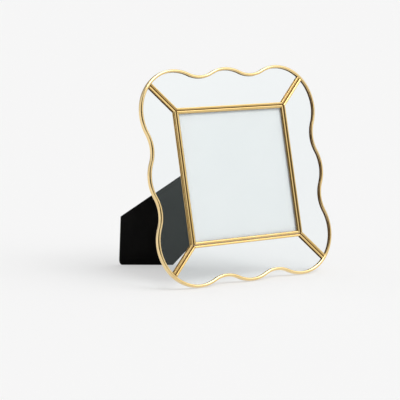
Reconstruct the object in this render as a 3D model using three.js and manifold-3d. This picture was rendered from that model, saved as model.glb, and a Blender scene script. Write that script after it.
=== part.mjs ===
// A square picture frame of brass came and clear glass with a scalloped rim.
// It stands on its lower scallops and on a strut that folds out of its back.
// Lengths are millimetres. In the frame group x runs right, y up the frame and z out of its front.

import * as THREE from 'three';
import Module from 'manifold-3d';
import { mergeVertices } from 'three/addons/utils/BufferGeometryUtils.js';

const wasm = await Module();
wasm.setup();

// Scalloped rim, measured along the middle of its came, and the rounding of that came
const rimCrest = 80;
const cornerLobeRadius = 32.05;
const middleLobeRadius = 29.35;
const dipRadius = 25.35;
const rimSteps = 44;
const rimWidth = 2.3;
const rimRound = 0.95;
const rimRoundDepth = 0.8;
const rimLipRound = 0.9;
const rimLipDepth = 0.65;

// Brass came strip inside the rim, and the side panels' glass
const cameWidth = 2;
const cameWeb = 0.65;
const cameLip = 0.8;
const cameRound = 1.2;
const cameRoundDepth = 0.9;
const cameLipRound = 0.4;
const glassThickness = 1.6;

// Picture rails: the square they make outside, how far they lie behind the came's front, and their section
const railSquare = 100;
const railSetBack = 0.2;
const railWidth = 2.2;
const railWall = 0.9;
const railRound = 0.45;
const railLip = 0.95;
const railLipRound = 1.1;
const railLipDepth = 0.75;
const railBackEdge = 0.6;

// Insert and backing board
const pictureGlassThickness = 0.8;
const insertThickness = 0.4;
const boardThickness = 2;
const boardCornerRadius = 1.5;

// Turn buttons on the board, whose tips go into slots in the rails
const buttonThickness = 0.7;
const buttonHeadRadius = 2.6;
const buttonTipWidth = 3.2;
const buttonShoulderDegrees = 17;
const buttonFromRail = 4.4;
const buttonEngagement = 0.5;
const buttonSlotLength = 7;

// Rivets of the turn buttons and of the hinge
const rivetShankRadius = 0.7;
const rivetHeadRadius = 1.5;
const rivetHeadHeight = 0.6;
const rivetCrownRadius = 0.9;
const rivetRimHeight = 0.2;
const rivetTailRadius = 1.3;
const rivetTailHeight = 0.35;

// Strut and its opening angle
const strutOpenDegrees = 42.8;
const strutThickness = 2.4;
const strutTopWidth = 33.8;
const strutFootLength = 41.4;
const strutToeRadius = 4;
const strutCornerRadius = 0.8;

// Hinge across the board's diagonal
const hingeFromCentre = 17.65;
const hingeLength = 26;
const hingeLeafLength = 12;
const hingeLeafThickness = 0.7;
const hingeBarrelRadius = 1.6;
const hingePinRadius = 0.8;
const hingeKnuckleLength = 6;
const hingeHeelLength = 4.2;
const hingeRivetFromEnd = 4;
const hingeRivetFromPin = 7.2;

// Clearances
const fitGap = 0.25;
const seamGap = 0.2;
const stackGap = 0.2;
const pinGap = 0.2;
const stopGap = 0.15;

// Flats that stand for round forms
const rimArcSteps = 10;
const smallArcSteps = 3;
const roundSides = 20;
const rivetSides = 16;

// Levels through the frame, from the front to the back
const cameDepth = glassThickness + 2 * (fitGap + cameLip);
const frontLevel = cameDepth / 2;
const railFront = frontLevel - railSetBack;
const pictureGlassFront = railFront - railLip - stackGap;
const insertFront = pictureGlassFront - pictureGlassThickness - stackGap;
const boardFront = insertFront - insertThickness - stackGap;
const boardBack = boardFront - boardThickness;
const buttonFront = boardBack - stackGap;
const buttonBack = buttonFront - buttonThickness;
const railBack = buttonBack - stackGap - railBackEdge;
const leafFront = boardBack - stackGap;
const leafBack = leafFront - hingeLeafThickness;
const hingeLevel = leafFront - hingeBarrelRadius;

// Half sizes across the picture opening
const railOuter = railSquare / 2 - seamGap / 2;
const railInner = railOuter - railWall;
const sheetHalf = railInner - fitGap;
const rivetHoleRadius = rivetShankRadius + fitGap;

// Lean: with it the strut's foot edges, parallel to the frame's sides when folded, lie flat on the table
const strutOpen = THREE.MathUtils.degToRad(strutOpenDegrees);
const lean = Math.atan(Math.tan(strutOpen / 2) / Math.SQRT2);
const cameHalf = cameWidth / 2;
const rimHalf = rimWidth / 2;
const rimFlat = (rimHalf - rimRound) * Math.cos(lean) + (frontLevel - rimRoundDepth) * Math.sin(lean);
const rimReach = rimFlat + Math.hypot(rimRound * Math.cos(lean), rimRoundDepth * Math.sin(lean));
const centreHeight = rimCrest * Math.cos(lean) + rimReach;

// Materials
function brass() {
  return new THREE.MeshStandardMaterial({ color: 0xc9a257, roughness: 0.25, metalness: 1 });
}

function clearGlass() {
  const look = { color: 0xe4efee, roughness: 0.05, metalness: 0, transparent: true, opacity: 0.3 };
  return new THREE.MeshStandardMaterial(look);
}

function whiteCard() {
  return new THREE.MeshStandardMaterial({ color: 0xf4f5f5, roughness: 0.9, metalness: 0 });
}

function blackBoard() {
  return new THREE.MeshStandardMaterial({ color: 0x131313, roughness: 0.95, metalness: 0 });
}

// Solids that are cut and joined
function solidOf(geometry) {
  const bare = geometry.clone();
  bare.deleteAttribute('normal');
  bare.deleteAttribute('uv');
  const merged = mergeVertices(bare, 1e-5);
  const vertProperties = new Float32Array(merged.attributes.position.array);
  const triVerts = new Uint32Array(merged.index.array);
  return new wasm.Manifold(new wasm.Mesh({ numProp: 3, vertProperties, triVerts }));
}

function geometryOf(solid) {
  const mesh = solid.getMesh();
  const geometry = new THREE.BufferGeometry();
  geometry.setAttribute('position', new THREE.BufferAttribute(new Float32Array(mesh.vertProperties), 3));
  geometry.setIndex(new THREE.BufferAttribute(new Uint32Array(mesh.triVerts), 1));
  geometry.computeVertexNormals();
  return geometry;
}

function join(geometries) {
  return geometryOf(geometries.map(solidOf).reduce((whole, next) => whole.add(next)));
}

function cut(geometry, tools) {
  return geometryOf(tools.map(solidOf).reduce((whole, tool) => whole.subtract(tool), solidOf(geometry)));
}

// Box between two corners
function block(low, high) {
  const size = new THREE.Vector3().subVectors(high, low);
  const middle = new THREE.Vector3().addVectors(low, high).multiplyScalar(0.5);
  return new THREE.BoxGeometry(size.x, size.y, size.z).translate(middle.x, middle.y, middle.z);
}

function corner(x, y, z) {
  return new THREE.Vector3(x, y, z);
}

// Round bar along x, centred on the origin
function roundBar(radius, length, sides) {
  return new THREE.CylinderGeometry(radius, radius, length, sides).rotateZ(Math.PI / 2);
}

// Flat plate of an outline, between two levels
function plate(shape, back, front) {
  return new THREE.ExtrudeGeometry(shape, { depth: front - back, bevelEnabled: false }).translate(0, 0, back);
}

function arcPoints(x, y, radius, from, to, steps) {
  return ellipsePoints(x, y, radius, radius, from, to, steps);
}

function ellipsePoints(x, y, radiusX, radiusY, from, to, steps) {
  const points = [];
  for (let i = 0; i <= steps; i += 1) {
    const angle = THREE.MathUtils.lerp(from, to, i / steps);
    points.push(new THREE.Vector2(x + radiusX * Math.cos(angle), y + radiusY * Math.sin(angle)));
  }
  return points;
}

function rivetHole(x, y) {
  return new THREE.Path(arcPoints(x, y, rivetHoleRadius, 0, -2 * Math.PI, rivetSides).slice(1));
}

// Polygon with each corner rounded to its own radius
function roundedPolygon(corners, radii) {
  const points = [];
  corners.forEach((point, i) => {
    const back = corners.at(i - 1).clone().sub(point).normalize();
    const ahead = corners[(i + 1) % corners.length].clone().sub(point).normalize();
    const halfAngle = Math.acos(back.dot(ahead)) / 2;
    const inward = back.clone().add(ahead).normalize();
    const centre = point.clone().addScaledVector(inward, radii[i] / Math.sin(halfAngle));
    const sweep = Math.PI / 2 - halfAngle;
    const middle = Math.atan2(-inward.y, -inward.x);
    points.push(...arcPoints(centre.x, centre.y, radii[i], middle - sweep, middle + sweep, smallArcSteps));
  });
  return points;
}

// Section pieces have x to the back and y towards the strip's closed side

// U-shaped came round the middle of its strip. The roundings of its closed side and of its lips
// have their depth as x and their width as y.
function cameSection(width, closed, lip) {
  const half = width / 2;
  const slot = glassThickness / 2 + fitGap;
  const front = [
    ...ellipsePoints(closed.x - frontLevel, half - closed.y, closed.x, closed.y, Math.PI / 2, Math.PI, 2),
    ...ellipsePoints(lip.x - frontLevel, lip.y - half, lip.x, lip.y, Math.PI, 1.5 * Math.PI, 2),
    new THREE.Vector2(-slot, -half),
    new THREE.Vector2(-slot, half - cameWeb),
  ];
  const back = front.map((point) => new THREE.Vector2(-point.x, point.y)).reverse();
  return new THREE.Shape([...front, ...back]);
}

function rimSection() {
  const closed = new THREE.Vector2(rimRoundDepth, rimRound);
  const lip = new THREE.Vector2(rimLipDepth, rimLipRound);
  return cameSection(rimWidth, closed, lip);
}

function innerSection() {
  const closed = new THREE.Vector2(cameRoundDepth, cameRound);
  const lip = new THREE.Vector2(cameLipRound, cameLipRound);
  return cameSection(cameWidth, closed, lip);
}

// Rail with a round front lip over the picture glass, y measured from the frame's middle
function railSection() {
  const lipEdge = railOuter - railWidth;
  return new THREE.Shape([
    new THREE.Vector2(railLip - railFront, lipEdge),
    new THREE.Vector2(railLip - railFront, railInner),
    new THREE.Vector2(-railBack, railInner),
    new THREE.Vector2(-railBack, railOuter),
    ...arcPoints(railRound - railFront, railOuter - railRound, railRound, Math.PI / 2, Math.PI, smallArcSteps),
    ...ellipsePoints(
      railLipDepth - railFront, lipEdge + railLipRound, railLipDepth, railLipRound,
      Math.PI, 1.5 * Math.PI, smallArcSteps,
    ),
  ]);
}

// Straight bar of a section whose ends are places along it that vary with y
function bar(section, startAt, endAt) {
  const geometry = new THREE.ExtrudeGeometry(section, { depth: 1, bevelEnabled: false });
  const position = geometry.attributes.position;
  for (let i = 0; i < position.count; i += 1) {
    const place = position.getZ(i) < 0.5 ? startAt : endAt;
    position.setZ(i, place(position.getY(i)));
  }
  geometry.computeVertexNormals();
  return geometry;
}

// Turns a bar into the frame's plane: its closed side faces the given direction
function layBar(geometry, facing, middle) {
  const back = new THREE.Vector3(0, 0, -1);
  const closedSide = new THREE.Vector3(facing.x, facing.y, 0);
  const along = new THREE.Vector3().crossVectors(back, closedSide);
  const turn = new THREE.Matrix4().makeBasis(back, closedSide, along);
  turn.setPosition(middle.x, middle.y, 0);
  return geometry.applyMatrix4(turn);
}

// Circle of the dips: it touches a corner lobe and the middle lobe from outside
const lobeCentre = rimCrest - cornerLobeRadius;
const cornerCentre = new THREE.Vector2(lobeCentre, lobeCentre);
const middleCentre = new THREE.Vector2(0, rimCrest - middleLobeRadius);
const lobeLine = cornerCentre.clone().sub(middleCentre);
const dipToMiddle = middleLobeRadius + dipRadius;
const dipToCorner = cornerLobeRadius + dipRadius;
const dipAlong = (dipToMiddle ** 2 - dipToCorner ** 2 + lobeLine.lengthSq()) / (2 * lobeLine.length());
const dipAcross = Math.sqrt(dipToMiddle ** 2 - dipAlong ** 2);
const lobeDirection = lobeLine.clone().normalize();
const dipCentre = new THREE.Vector2(
  middleCentre.x + lobeDirection.x * dipAlong - lobeDirection.y * dipAcross,
  middleCentre.y + lobeDirection.y * dipAlong + lobeDirection.x * dipAcross,
);
const cornerJoin = dipCentre.clone().sub(cornerCentre).angle();
const middleJoin = dipCentre.clone().sub(middleCentre).angle();

// Arcs of the top side's rim from left to right, set outwards by an offset
// and ending at a distance from the corner diagonals
function rimArcs(offset, fromDiagonal) {
  const cornerRadius = cornerLobeRadius + offset;
  const dip = dipRadius - offset;
  const trim = Math.asin(fromDiagonal / cornerRadius);
  const middle = middleLobeRadius + offset;
  return [
    arc(-cornerCentre.x, cornerCentre.y, cornerRadius, 0.75 * Math.PI - trim, Math.PI - cornerJoin),
    arc(-dipCentre.x, dipCentre.y, dip, -cornerJoin, -middleJoin),
    arc(middleCentre.x, middleCentre.y, middle, Math.PI - middleJoin, middleJoin),
    arc(dipCentre.x, dipCentre.y, dip, Math.PI + middleJoin, Math.PI + cornerJoin),
    arc(cornerCentre.x, cornerCentre.y, cornerRadius, cornerJoin, 0.25 * Math.PI + trim),
  ];
}

function arc(x, y, radius, from, to) {
  return { x, y, radius, from, to };
}

// Path through a list of arcs that touch end to end
class ArcPath extends THREE.Curve {
  constructor(arcs) {
    super();
    this.arcs = arcs;
    this.lengths = arcs.map((part) => part.radius * Math.abs(part.to - part.from));
    this.total = this.lengths.reduce((sum, length) => sum + length);
  }

  getPoint(t, target = new THREE.Vector3()) {
    let left = t * this.total;
    let i = 0;
    while (i < this.arcs.length - 1 && left > this.lengths[i]) {
      left -= this.lengths[i];
      i += 1;
    }
    const part = this.arcs[i];
    const angle = THREE.MathUtils.lerp(part.from, part.to, left / this.lengths[i]);
    return target.set(part.x + part.radius * Math.cos(angle), part.y + part.radius * Math.sin(angle), 0);
  }
}

// Side panels, drawn for the top one
const cameMiddle = seamGap / 2 + cameHalf;
const panelEdge = seamGap / 2 + cameWeb + fitGap;
const mitreSlope = Math.tan(Math.PI / 8);
const mitreSeam = seamGap / 2 / Math.cos(Math.PI / 8);
const innerCameLine = railSquare / 2 + cameMiddle;
const innerCameHalf = innerCameLine - cameMiddle * Math.SQRT2;

function panelGlass() {
  const edgeOffset = rimHalf - cameWeb - fitGap;
  const innerEdge = railSquare / 2 + panelEdge;
  const innerEnd = innerEdge - panelEdge * Math.SQRT2;
  const arcs = rimArcs(edgeOffset, panelEdge);
  const rim = arcs.flatMap((part, i) => {
    const points = arcPoints(part.x, part.y, part.radius, part.from, part.to, rimArcSteps);
    return i === 0 ? points : points.slice(1);
  });
  const outline = [new THREE.Vector2(innerEnd, innerEdge), new THREE.Vector2(-innerEnd, innerEdge), ...rim];
  return plate(new THREE.Shape(outline), -glassThickness / 2, glassThickness / 2);
}

function edgeCame() {
  const extrudePath = new ArcPath(rimArcs(0, seamGap / 2));
  return new THREE.ExtrudeGeometry(rimSection(), { steps: rimSteps, bevelEnabled: false, extrudePath });
}

function innerCame() {
  const endAt = (y) => innerCameHalf + y * mitreSlope - mitreSeam;
  const came = bar(innerSection(), (y) => -endAt(y), endAt);
  return layBar(came, new THREE.Vector2(0, -1), new THREE.Vector2(0, innerCameLine));
}

// Came along a corner diagonal: side is 1 on the panel's right and -1 on its left
function mitreCame(side) {
  const rimInside = cornerLobeRadius - rimHalf;
  const cameFar = seamGap / 2 + cameWidth;
  const outerEnd = lobeCentre * Math.SQRT2 + Math.sqrt(rimInside ** 2 - cameFar ** 2) - fitGap;
  const innerEnd = (innerCameHalf + innerCameLine) / Math.SQRT2;
  const length = outerEnd - innerEnd;
  const section = innerSection();
  const mitred = (y) => mitreSeam - y * mitreSlope;
  const came = side < 0
    ? bar(section, mitred, () => length)
    : bar(section, () => -length, (y) => -mitred(y));
  const facing = new THREE.Vector2(side, -1).normalize();
  return layBar(came, facing, new THREE.Vector2(side * innerCameHalf, innerCameLine));
}

// Picture rail with the slot for its turn button, drawn for the top
function pictureRail() {
  const endAt = (y) => y - seamGap / 2 * Math.SQRT2;
  const rail = bar(railSection(), (y) => -endAt(y), endAt);
  const laid = layBar(rail, new THREE.Vector2(0, 1), new THREE.Vector2(0, 0));
  const slotHalf = buttonSlotLength / 2;
  const slot = block(
    corner(-slotHalf, railInner - railWall, buttonBack - stackGap),
    corner(slotHalf, railOuter + railWall, buttonFront + stackGap),
  );
  return cut(laid, [slot]);
}

// Sheets of the picture stack
function squareShape(half) {
  const corners = [[-half, -half], [half, -half], [half, half], [-half, half]];
  return corners.map(([x, y]) => new THREE.Vector2(x, y));
}

function pictureGlass() {
  const shape = new THREE.Shape(squareShape(sheetHalf));
  return plate(shape, pictureGlassFront - pictureGlassThickness, pictureGlassFront);
}

function photoInsert() {
  return plate(new THREE.Shape(squareShape(sheetHalf)), insertFront - insertThickness, insertFront);
}

const buttonPivot = railInner - buttonFromRail;
const hingeHalf = hingeLength / 2;
const hingeRivetAlong = hingeHalf - hingeRivetFromEnd;
const boardRivets = [-hingeRivetAlong, hingeRivetAlong].map((along) => {
  const across = hingeFromCentre + hingeRivetFromPin;
  return new THREE.Vector2((across + along) / Math.SQRT2, (across - along) / Math.SQRT2);
});

function backingBoard() {
  const corners = squareShape(sheetHalf);
  const shape = new THREE.Shape(roundedPolygon(corners, corners.map(() => boardCornerRadius)));
  const pivots = [[0, buttonPivot], [buttonPivot, 0], [0, -buttonPivot], [-buttonPivot, 0]];
  const buttonHoles = pivots.map(([x, y]) => rivetHole(x, y));
  const hingeHoles = boardRivets.map((place) => rivetHole(place.x, place.y));
  shape.holes = [...buttonHoles, ...hingeHoles];
  return plate(shape, boardBack, boardFront);
}

// Turn button about its rivet, tip towards +y
function turnButton() {
  const reach = buttonFromRail + buttonEngagement;
  const tipAngle = Math.asin(buttonTipWidth / 2 / reach);
  const shoulder = THREE.MathUtils.degToRad(buttonShoulderDegrees);
  const shape = new THREE.Shape([
    ...arcPoints(0, 0, buttonHeadRadius, Math.PI - shoulder, 2 * Math.PI + shoulder, rimArcSteps),
    ...arcPoints(0, 0, reach, Math.PI / 2 - tipAngle, Math.PI / 2 + tipAngle, smallArcSteps),
  ]);
  shape.holes = [rivetHole(0, 0)];
  return plate(shape, buttonBack, buttonFront);
}

// Rivet along z: its head sits behind headSeat, its shank ends at tip, and tail adds a second head there
function rivet(headSeat, tip, tail) {
  const length = tip - headSeat;
  const profile = [
    [0, -rivetHeadHeight],
    [rivetCrownRadius, -rivetHeadHeight],
    [rivetHeadRadius, -rivetRimHeight],
    [rivetHeadRadius, 0],
    [rivetShankRadius, 0],
    [rivetShankRadius, length],
  ];
  if (tail) {
    profile.push([rivetTailRadius, length], [rivetTailRadius, length + rivetTailHeight]);
  }
  const end = profile.at(-1)[1];
  profile.push([0, end]);
  const points = profile.map(([radius, along]) => new THREE.Vector2(radius, along));
  return new THREE.LatheGeometry(points, rivetSides).rotateX(Math.PI / 2).translate(0, 0, headSeat);
}

// Hinge pieces: x along the pin, y up the board's diagonal, z to the front, origin on the pin
const strutKnuckleHalf = hingeHalf - hingeKnuckleLength - seamGap;
const leafEdge = hingeBarrelRadius + fitGap;
const pinBoreRadius = hingePinRadius + pinGap;

// Drills for the two rivets of a leaf
function leafDrills(y) {
  return [-hingeRivetAlong, hingeRivetAlong].map((x) => {
    const depth = 4 * hingeBarrelRadius;
    const drill = new THREE.CylinderGeometry(rivetHoleRadius, rivetHoleRadius, depth, rivetSides);
    return drill.rotateX(Math.PI / 2).translate(x, y, 0);
  });
}

function boardLeaf() {
  const front = hingeBarrelRadius;
  const back = front - hingeLeafThickness;
  const leaf = block(corner(-hingeHalf, 0, back), corner(hingeHalf, hingeLeafLength, front));
  const knuckleMiddle = hingeHalf - hingeKnuckleLength / 2;
  const knuckles = [-1, 1].map((side) => {
    return roundBar(hingeBarrelRadius, hingeKnuckleLength, roundSides).translate(side * knuckleMiddle, 0, 0);
  });
  const notchHalf = hingeHalf - hingeKnuckleLength;
  const notch = block(
    corner(-notchHalf, -leafEdge, -leafEdge),
    corner(notchHalf, leafEdge, leafEdge),
  );
  const bore = roundBar(pinBoreRadius, 2 * hingeLength, roundSides);
  return cut(join([leaf, ...knuckles]), [notch, bore, ...leafDrills(hingeRivetFromPin)]);
}

// Leaf on the strut, drawn with the strut folded: its heel meets the board's leaf when the strut is open
function strutLeaf() {
  const half = hingeLeafThickness / 2;
  const leaf = block(corner(-hingeHalf, -hingeLeafLength, -half), corner(hingeHalf, -leafEdge, half));
  const tongue = block(corner(-strutKnuckleHalf, -leafEdge - half, -half), corner(strutKnuckleHalf, 0, half));
  const barrel = roundBar(hingeBarrelRadius, 2 * strutKnuckleHalf, roundSides);
  const heelFront = hingeBarrelRadius - hingeLeafThickness - stopGap;
  const heel = block(
    corner(-strutKnuckleHalf, 0, heelFront - hingeLeafThickness),
    corner(strutKnuckleHalf, hingeHeelLength, heelFront),
  ).rotateX(-strutOpen);
  const bore = roundBar(pinBoreRadius, 2 * hingeLength, roundSides);
  return cut(join([leaf, tongue, barrel, heel]), [bore, ...leafDrills(-hingeRivetFromPin)]);
}

function hingePin() {
  return roundBar(hingePinRadius, hingeLength, roundSides);
}

// Strut board, drawn folded in the hinge's axes. The table is a plane there when the strut is open.
const strutFront = -hingeLeafThickness / 2 - stackGap;
const strutBack = strutFront - strutThickness;
const tableUp = new THREE.Vector3(0, Math.cos(lean), Math.sin(lean));
tableUp.applyAxisAngle(new THREE.Vector3(0, 0, 1), Math.PI / 4);
tableUp.applyAxisAngle(new THREE.Vector3(1, 0, 0), -strutOpen);
const hingeUp = hingeFromCentre * Math.SQRT1_2;
const hingeHeight = centreHeight + hingeUp * Math.cos(lean) + hingeLevel * Math.sin(lean);

function strutBoard() {
  const toeAt = (level) => (-hingeHeight - tableUp.z * level) / tableUp.y;
  const toe = Math.min(toeAt(strutFront), toeAt(strutBack));
  const top = -hingeBarrelRadius - 2 * fitGap;
  const footHalf = strutFootLength * Math.SQRT1_2;
  const corners = [
    new THREE.Vector2(strutTopWidth / 2, top),
    new THREE.Vector2(-strutTopWidth / 2, top),
    new THREE.Vector2(-footHalf, toe + footHalf),
    new THREE.Vector2(0, toe),
    new THREE.Vector2(footHalf, toe + footHalf),
  ];
  const radii = [strutCornerRadius, strutCornerRadius, strutCornerRadius, strutToeRadius, strutCornerRadius];
  const shape = new THREE.Shape(roundedPolygon(corners, radii));
  shape.holes = [-hingeRivetAlong, hingeRivetAlong].map((x) => rivetHole(x, -hingeRivetFromPin));
  const tables = [-1, 1].map((side) => {
    const up = new THREE.Vector3(side * tableUp.x, tableUp.y, tableUp.z);
    const turn = new THREE.Quaternion().setFromUnitVectors(new THREE.Vector3(0, 0, 1), up);
    const size = 4 * rimCrest;
    const table = new THREE.BoxGeometry(size, size, hingeHeight).translate(0, 0, -1.5 * hingeHeight);
    return table.applyQuaternion(turn);
  });
  return cut(plate(shape, strutBack, strutFront), tables);
}

// Assembly
function piece(name, geometry, material, parent) {
  const mesh = new THREE.Mesh(geometry, material);
  mesh.name = name;
  parent.add(mesh);
  return mesh;
}

const frame = new THREE.Group();
const sides = ['top', 'right', 'bottom', 'left'];

sides.forEach((side, i) => {
  const panel = new THREE.Group();
  panel.rotation.z = -i * Math.PI / 2;
  frame.add(panel);
  const before = sides.at(i - 1);
  const after = sides[(i + 1) % sides.length];
  piece(`${side}_glass`, panelGlass(), clearGlass(), panel);
  piece(`${side}_edge_came`, edgeCame(), brass(), panel);
  piece(`${side}_inner_came`, innerCame(), brass(), panel);
  piece(`${side}_mitre_came_by_${before}`, mitreCame(-1), brass(), panel);
  piece(`${side}_mitre_came_by_${after}`, mitreCame(1), brass(), panel);
  piece(`${side}_picture_rail`, pictureRail(), brass(), panel);
  piece(`${side}_turn_button`, turnButton(), brass(), panel).position.y = buttonPivot;
  const buttonRivet = rivet(buttonBack - stackGap, boardFront, false);
  piece(`${side}_turn_button_rivet`, buttonRivet, brass(), panel).position.y = buttonPivot;
});

piece('picture_glass', pictureGlass(), clearGlass(), frame);
piece('photo_insert', photoInsert(), whiteCard(), frame);
piece('backing_board', backingBoard(), blackBoard(), frame);

boardRivets.forEach((place, i) => {
  const leafRivet = rivet(leafBack - stackGap, boardFront, false);
  piece(`board_leaf_rivet_${i + 1}`, leafRivet, brass(), frame).position.set(place.x, place.y, 0);
});

const hinge = new THREE.Group();
hinge.position.set(hingeUp, hingeUp, hingeLevel);
hinge.rotation.z = -Math.PI / 4;
frame.add(hinge);
piece('hinge_board_leaf', boardLeaf(), brass(), hinge);
piece('hinge_pin', hingePin(), brass(), hinge);

const strut = new THREE.Group();
strut.rotation.x = strutOpen;
hinge.add(strut);
piece('hinge_strut_leaf', strutLeaf(), brass(), strut);
piece('strut_board', strutBoard(), blackBoard(), strut);
[-hingeRivetAlong, hingeRivetAlong].forEach((x, i) => {
  const strutRivet = rivet(strutBack - stackGap, hingeLeafThickness / 2 + stackGap, true);
  piece(`strut_leaf_rivet_${i + 1}`, strutRivet, brass(), strut).position.set(x, -hingeRivetFromPin, 0);
});

// The frame leans back on the table, with the origin under the middle of its box
frame.rotation.x = Math.PI / 2 - lean;
frame.position.z = centreHeight;
const object = new THREE.Group();
object.add(frame);
object.updateMatrixWorld(true);
frame.position.y = -new THREE.Box3().setFromObject(object, true).getCenter(new THREE.Vector3()).y;

export default object;
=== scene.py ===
import math

import bmesh
import bpy
from mathutils import Matrix, Vector
from mathutils.geometry import tessellate_polygon


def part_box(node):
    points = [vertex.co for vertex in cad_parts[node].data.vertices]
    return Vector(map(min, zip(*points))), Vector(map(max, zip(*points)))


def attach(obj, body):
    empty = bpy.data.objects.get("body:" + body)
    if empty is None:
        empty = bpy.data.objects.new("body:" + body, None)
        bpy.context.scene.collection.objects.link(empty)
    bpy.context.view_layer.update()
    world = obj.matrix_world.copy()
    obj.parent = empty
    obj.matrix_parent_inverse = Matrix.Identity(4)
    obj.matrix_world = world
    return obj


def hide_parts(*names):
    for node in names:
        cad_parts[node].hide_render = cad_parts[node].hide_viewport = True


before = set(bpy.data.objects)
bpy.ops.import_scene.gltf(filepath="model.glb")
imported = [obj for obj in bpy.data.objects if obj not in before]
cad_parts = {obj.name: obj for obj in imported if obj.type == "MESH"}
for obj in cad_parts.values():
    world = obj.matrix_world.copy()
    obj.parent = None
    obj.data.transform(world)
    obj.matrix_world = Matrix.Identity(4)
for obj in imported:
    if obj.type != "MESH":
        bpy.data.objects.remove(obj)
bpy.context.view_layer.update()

MM = 0.001

# Sizes of the model in millimetres; an oval rounding has a width and a depth
RIM_CREST = 80.0
CORNER_LOBE = 32.05
MIDDLE_LOBE = 29.35
DIP = 25.35
RIM_HALF = 1.15
RIM_ROUND = (0.95, 0.8)
RIM_LIP_ROUND = (0.9, 0.65)
CAME_HALF = 1.0
CAME_WEB = 0.65
CAME_FRONT = 1.85
CAME_ROUND = (1.2, 0.9)
CAME_LIP_ROUND = (0.4, 0.4)
CAME_SLOT = 1.05
RAIL_SQUARE = 100.0
RAIL_OUTER = 49.9
RAIL_INNER = 49.0
RAIL_LIP_EDGE = 47.7
RAIL_FRONT = 1.65
RAIL_ROUND = 0.45
RAIL_LIP_BACK = 0.7
RAIL_LIP_ROUND = (1.1, 0.75)
RAIL_BACK = -4.8
SHEET_HALF = 48.75
BOARD_CORNER = 1.5
BOARD_FRONT = -1.1
BOARD_BACK = -3.1
BUTTON_FRONT = -3.3
BUTTON_BACK = -4.0
BUTTON_HEAD = 2.6
BUTTON_TIP_WIDTH = 3.2
BUTTON_REACH = 4.9
BUTTON_PIVOT = 44.6
BUTTON_SLOT_HALF = 3.5
SLOT_OVERCUT = 1.0
GLASS_MIDDLE = 0.1
RIVET_SHANK = 0.7
RIVET_HEAD = 1.5
RIVET_HEAD_HEIGHT = 0.6
RIVET_TAIL = 1.3
RIVET_TAIL_HEIGHT = 0.35
RIVET_HOLE = 0.95
STRUT_THICKNESS = 2.4
STRUT_TOP_WIDTH = 33.8
STRUT_TOP_GAP = 0.5
STRUT_FOOT = 41.4
STRUT_TOE_ROUND = 4.0
STRUT_CORNER_ROUND = 0.8
HINGE_FROM_CENTRE = 17.65
HINGE_HALF = 13.0
HINGE_LEAF = 12.0
LEAF_THICKNESS = 0.7
BARREL = 1.6
PIN = 0.8
BORE = 1.0
KNUCKLE = 6.0
HEEL = 4.2
LEAF_EDGE = 1.85
RIVET_ALONG = 9.0
RIVET_FROM_PIN = 7.2
SEAM = 0.2
MITRE_GAP = 0.05
GAP = 0.2
STOP_GAP = 0.15

# Angles: the strut's opening in radians, the rest in degrees
STRUT_OPEN = math.radians(42.8)
BUTTON_SHOULDER = 17
CURL_END = 378
DOME_ANGLES = (0, 12, 24, 36, 48, 60, 70, 80, 90)
SMOOTH_UP_TO = 38

# Fine rounding of the finish, in millimetres
STRIP_CROWN = 0.015
RAIL_BACK_ROUND = 0.15
BUTTON_EASE = 0.15
BOARD_EASE = 0.3
LEAF_EASE = 0.12
LEAF_CORNERS = (0.2, 0.2, 1.2, 1.2)
ROD_EASE = 0.15
STRUT_EASE = 0.4

# How the joined pieces of the hinge overlap, in millimetres
JOIN_SKIN = 0.03
JOIN_END = 0.02
TAB_OVERLAP = 0.6
TONGUE_OVERLAP = 0.5
TONGUE_FROM_BORE = 0.15
HEEL_FROM_BORE = 0.1

# Steps of the round forms
STRIP_STEPS = 7
RIM_STEPS = 40
HEAD_STEPS = 40
TIP_STEPS = 8
CORNER_STEPS = 8
EASE_STEPS = 3
HOLE_STEPS = 24
CURL_STEPS = 36
ROUND_SIDES = 36

# The frame's own axes: x right, y up the frame, z out of its front
LEAN = math.atan(math.tan(STRUT_OPEN / 2) / math.sqrt(2))
TURN = Matrix((
    (1, 0, 0),
    (0, math.sin(LEAN), -math.cos(LEAN)),
    (0, math.cos(LEAN), math.sin(LEAN)),
))
glass_low, glass_high = (Vector(c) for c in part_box("picture_glass"))
CENTRE = (glass_low + glass_high) / 2 - TURN @ Vector((0, 0, GLASS_MIDDLE * MM))
STAND = Matrix.Translation(CENTRE) @ TURN.to_4x4() @ Matrix.Scale(MM, 4)
HINGE_LEVEL = BOARD_BACK - GAP - BARREL
HINGE_UP = HINGE_FROM_CENTRE / math.sqrt(2)
HINGE = (
    STAND
    @ Matrix.Translation((HINGE_UP, HINGE_UP, HINGE_LEVEL))
    @ Matrix.Rotation(-math.pi / 4, 4, "Z")
)
STRUT = HINGE @ Matrix.Rotation(STRUT_OPEN, 4, "X")
RIVETS_ALONG = (-RIVET_ALONG, RIVET_ALONG)
SIDES = ("top", "right", "bottom", "left")


def side_turn(i):
    """Place of a side's pieces, which are all drawn as those of the top side."""
    return STAND @ Matrix.Rotation(-i * math.pi / 2, 4, "Z")


# Sockets of Blender's Mix node when it mixes colours
MIX_FACTOR, MIX_FIRST, MIX_SECOND, MIX_RESULT = 0, 6, 7, 2


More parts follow.
